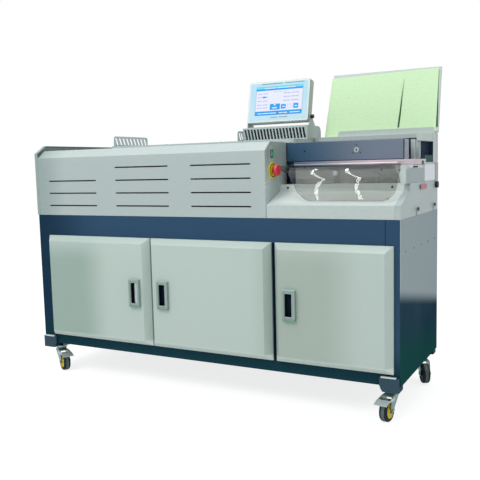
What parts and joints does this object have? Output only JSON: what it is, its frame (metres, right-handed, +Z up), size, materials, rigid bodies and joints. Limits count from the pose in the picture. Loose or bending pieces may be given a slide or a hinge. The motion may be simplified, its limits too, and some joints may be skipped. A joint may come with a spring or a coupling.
{
  "type": "thermal binding machine",
  "caption": "Floor-standing hot-melt book binder: cabinet on casters, slotted hinged housing over glue and milling units, nipping station with clear shield, cover feeder, tilting touch panel.",
  "frame": {"origin": "centre of the bounding box at floor level, under the wheels", "axes": "+X along the machine towards the loading station, +Y to the rear, +Z up; the operator stands at -Y"},
  "size_m": [1.547, 0.6032, 1.2004],
  "materials": {
    "blue_paint": "semi-gloss dark blue-green powder coat",
    "door_paint": "satin grey-green powder coat",
    "handle_chrome": "satin chrome plate",
    "caster_zinc": "bright zinc plate",
    "wheel_tyre": "matte dark tread on a yellow hub",
    "end_paint": "satin grey-green powder coat",
    "light_paint": "satin pale grey-green powder coat",
    "clamp_paint": "satin slate-blue paint",
    "black_plastic": "moulded black, fine grain",
    "green_plastic": "moulded green rocker",
    "yellow_plastic": "moulded yellow",
    "red_plastic": "moulded red",
    "case_plastic": "moulded off-white, fine grain",
    "screen_face": "pale blue membrane with a display window",
    "clear_sheet": "clear bent acrylic sheet",
    "plain_aluminium": "milled and anodised",
    "bright_steel": "ground bright",
    "roller_steel": "turned, knurled glue roller",
    "cast_metal": "as cast",
    "cover_stock": "pale green card"
  },
  "bodies": {
    "machine": {"cabinet_frame": "blue_paint", "left_side_panel": "blue_paint", "right_side_panel": "blue_paint", "cabinet_back_panel": "blue_paint", "front_left_caster_plate": "caster_zinc", "front_right_caster_plate": "caster_zinc", "rear_left_caster_plate": "caster_zinc", "rear_right_caster_plate": "caster_zinc", "machine_bed": "blue_paint", "left_end_plate": "end_paint", "control_plate": "light_paint", "rear_cover": "light_paint", "mains_inlet": "black_plastic", "top_deck": "light_paint", "left_louvre": "end_paint", "right_louvre": "end_paint", "vent_hood": "end_paint", "screen_bracket": "end_paint", "emergency_collar": "yellow_plastic", "station_deck": "light_paint", "station_side_plate": "end_paint", "right_frame_plate": "light_paint", "station_inner_panel": "light_paint", "stop_knob": "case_plastic", "table_bar": "plain_aluminium", "guide_rails": "bright_steel", "cover_guide": "light_paint", "cover_backboard": "light_paint", "cover_sheet": "cover_stock", "glue_tank": "cast_metal"},
    "left_door_body": {"left_door": "door_paint", "left_door_handle": "handle_chrome"},
    "middle_door_body": {"middle_door": "door_paint", "middle_door_handle": "handle_chrome"},
    "right_door_body": {"right_door": "door_paint", "right_door_handle": "handle_chrome"},
    "front_left_swivel": {"front_left_caster_fork": "caster_zinc"},
    "front_right_swivel": {"front_right_caster_fork": "caster_zinc"},
    "rear_left_swivel": {"rear_left_caster_fork": "caster_zinc"},
    "rear_right_swivel": {"rear_right_caster_fork": "caster_zinc"},
    "front_left_roller": {"front_left_caster_wheel": "wheel_tyre"},
    "front_right_roller": {"front_right_caster_wheel": "wheel_tyre"},
    "rear_left_roller": {"rear_left_caster_wheel": "wheel_tyre"},
    "rear_right_roller": {"rear_right_caster_wheel": "wheel_tyre"},
    "front_left_brake": {"front_left_brake_pedal": "caster_zinc"},
    "front_right_brake": {"front_right_brake_pedal": "caster_zinc"},
    "cover": {"hinged_cover": "light_paint"},
    "shield": {"clear_shield": "clear_sheet"},
    "touch_panel": {"screen_case": "case_plastic", "screen_glass": "screen_face"},
    "tilt_clamp": {"tilt_clamp_rod": "black_plastic"},
    "rocker": {"power_switch": "green_plastic"},
    "stop_button": {"emergency_button": "red_plastic"},
    "carriage": {"rear_jaw": "light_paint"},
    "front_clamp": {"front_jaw": "clamp_paint"},
    "jaw_lock": {"jaw_lock_knob": "handle_chrome"},
    "side_knob": {"side_clamp_knob": "black_plastic"},
    "cutter": {"milling_cutter": "bright_steel"},
    "first_roller": {"front_glue_roller": "roller_steel"},
    "second_roller": {"rear_glue_roller": "roller_steel"}
  },
  "joints": [
    {"name": "left_door_hinge", "type": "hinge", "parent": "machine", "child": "left_door_body", "pos_m": [-0.7085, -0.262, 0.373], "axis": [0, 0, -1], "range_deg": [0, 100]},
    {"name": "middle_door_hinge", "type": "hinge", "parent": "machine", "child": "middle_door_body", "pos_m": [0.3145, -0.262, 0.373], "axis": [0, 0, 1], "range_deg": [0, 90]},
    {"name": "right_door_hinge", "type": "hinge", "parent": "machine", "child": "right_door_body", "pos_m": [0.7425, -0.262, 0.373], "axis": [0, 0, 1], "range_deg": [0, 100]},
    {"name": "front_left_swivel_turn", "type": "hinge", "parent": "machine", "child": "front_left_swivel", "pos_m": [-0.7225, -0.209, 0.095], "axis": [0, 0, 1], "continuous": true},
    {"name": "front_right_swivel_turn", "type": "hinge", "parent": "machine", "child": "front_right_swivel", "pos_m": [0.7165, -0.209, 0.095], "axis": [0, 0, 1], "continuous": true},
    {"name": "rear_left_swivel_turn", "type": "hinge", "parent": "machine", "child": "rear_left_swivel", "pos_m": [-0.7225, 0.233, 0.095], "axis": [0, 0, 1], "continuous": true},
    {"name": "rear_right_swivel_turn", "type": "hinge", "parent": "machine", "child": "rear_right_swivel", "pos_m": [0.7165, 0.233, 0.095], "axis": [0, 0, 1], "continuous": true},
    {"name": "front_left_wheel_roll", "type": "hinge", "parent": "front_left_swivel", "child": "front_left_roller", "pos_m": [-0.69219, -0.2265, 0.0375], "axis": [0.5, 0.866, 0], "continuous": true},
    {"name": "front_right_wheel_roll", "type": "hinge", "parent": "front_right_swivel", "child": "front_right_roller", "pos_m": [0.71223, -0.24374, 0.0375], "axis": [0.9925, -0.1219, 0], "continuous": true},
    {"name": "rear_left_wheel_roll", "type": "hinge", "parent": "rear_left_swivel", "child": "rear_left_roller", "pos_m": [-0.71344, 0.19919, 0.0375], "axis": [0.9659, 0.2588, 0], "continuous": true},
    {"name": "rear_right_wheel_roll", "type": "hinge", "parent": "rear_right_swivel", "child": "rear_right_roller", "pos_m": [0.73293, 0.2021, 0.0375], "axis": [0.8829, 0.4695, 0], "continuous": true},
    {"name": "front_left_brake_press", "type": "hinge", "parent": "front_left_swivel", "child": "front_left_brake", "pos_m": [-0.69998, -0.222, 0.0765], "axis": [0.5, 0.866, 0], "range_deg": [0, 14]},
    {"name": "front_right_brake_press", "type": "hinge", "parent": "front_right_swivel", "child": "front_right_brake", "pos_m": [0.71333, -0.23481, 0.0765], "axis": [0.9925, -0.1219, 0], "range_deg": [0, 14]},
    {"name": "hinged_cover_lift", "type": "hinge", "parent": "machine", "child": "cover", "pos_m": [-0.2335, -0.0045, 0.9305], "axis": [-1, 0, 0], "range_deg": [0, 65]},
    {"name": "clear_shield_lift", "type": "hinge", "parent": "machine", "child": "shield", "pos_m": [0.51725, -0.12, 0.845], "axis": [-1, 0, 0], "range_deg": [0, 95]},
    {"name": "touch_panel_tilt", "type": "hinge", "parent": "machine", "child": "touch_panel", "pos_m": [0.1525, 0.172, 1.035], "axis": [-1, 0, 0], "range_deg": [-12, 25]},
    {"name": "tilt_clamp_turn", "type": "hinge", "parent": "machine", "child": "tilt_clamp", "pos_m": [0.1525, 0.172, 1.035], "axis": [1, 0, 0], "range_deg": [0, 180]},
    {"name": "power_switch_rock", "type": "hinge", "parent": "machine", "child": "rocker", "pos_m": [0.2918, -0.203, 0.887], "axis": [0, 1, 0], "range_deg": [-8, 8]},
    {"name": "emergency_button_push", "type": "slide", "parent": "machine", "child": "stop_button", "axis": [-1, 0, 0], "range_m": [0, 0.005], "stiffness_N_per_m": 400},
    {"name": "carriage_travel", "type": "slide", "parent": "machine", "child": "carriage", "axis": [-1, 0, 0], "range_m": [0, 0.95]},
    {"name": "front_jaw_close", "type": "slide", "parent": "carriage", "child": "front_clamp", "axis": [0, 1, 0], "range_m": [0, 0.034]},
    {"name": "jaw_lock_turn", "type": "hinge", "parent": "front_clamp", "child": "jaw_lock", "pos_m": [0.5585, -0.0755, 0.893], "axis": [0, 1, 0], "range_deg": [0, 90]},
    {"name": "side_clamp_turn", "type": "hinge", "parent": "machine", "child": "side_knob", "pos_m": [0.7615, 0.236, 0.76], "axis": [1, 0, 0], "range_deg": [-180, 180]},
    {"name": "milling_cutter_spin", "type": "hinge", "parent": "machine", "child": "cutter", "pos_m": [0.1125, 0.009, 0.84], "axis": [0, 0, 1], "continuous": true},
    {"name": "front_glue_roller_spin", "type": "hinge", "parent": "machine", "child": "first_roller", "pos_m": [-0.1915, 0.026, 0.824], "axis": [0, 1, 0], "continuous": true},
    {"name": "rear_glue_roller_spin", "type": "hinge", "parent": "machine", "child": "second_roller", "pos_m": [-0.1335, 0.026, 0.824], "axis": [0, 1, 0], "continuous": true}
  ],
  "couplings": [
    {"joint": "rear_glue_roller_spin", "follows": "front_glue_roller_spin", "ratio": -1}
  ]
}
